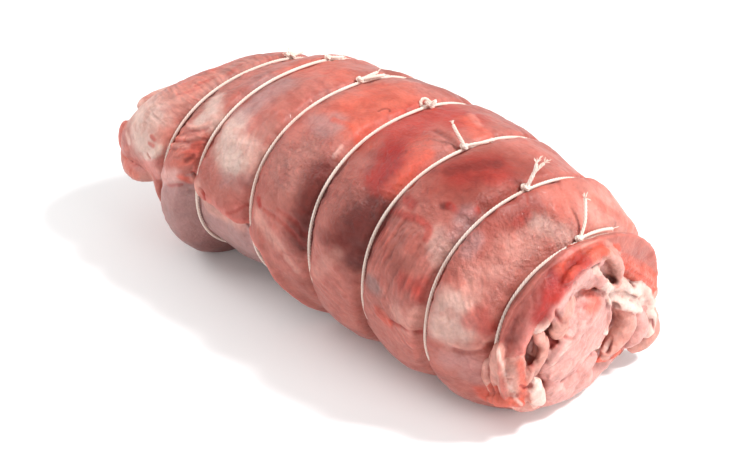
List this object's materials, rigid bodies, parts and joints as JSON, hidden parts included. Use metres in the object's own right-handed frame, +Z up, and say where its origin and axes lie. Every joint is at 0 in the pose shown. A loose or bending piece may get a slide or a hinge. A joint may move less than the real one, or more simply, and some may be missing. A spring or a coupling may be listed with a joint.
{
  "type": "tied boneless lamb shoulder",
  "caption": "Raw boned lamb shoulder rolled into a cylinder and tied with loops of butcher's twine, its layers of muscle and fat showing at the end.",
  "frame": {"origin": "on the resting surface, under the middle of the roll's box", "axes": "+X along the roll towards the spiral end, -Y towards the side with the wrap's cut edge, +Z up"},
  "size_m": [0.2732, 0.1312, 0.1126],
  "materials": {
    "raw_lamb": "raw meat and membrane, moist, with pale fat",
    "twine": "undyed cotton butcher's twine, damp"
  },
  "bodies": {
    "root": {"rolled_shoulder": "raw_lamb", "tie_1": "twine", "tie_2": "twine", "tie_3": "twine", "tie_4": "twine", "tie_5": "twine", "tie_6": "twine", "tie_7": "twine"}
  },
  "joints": []
}
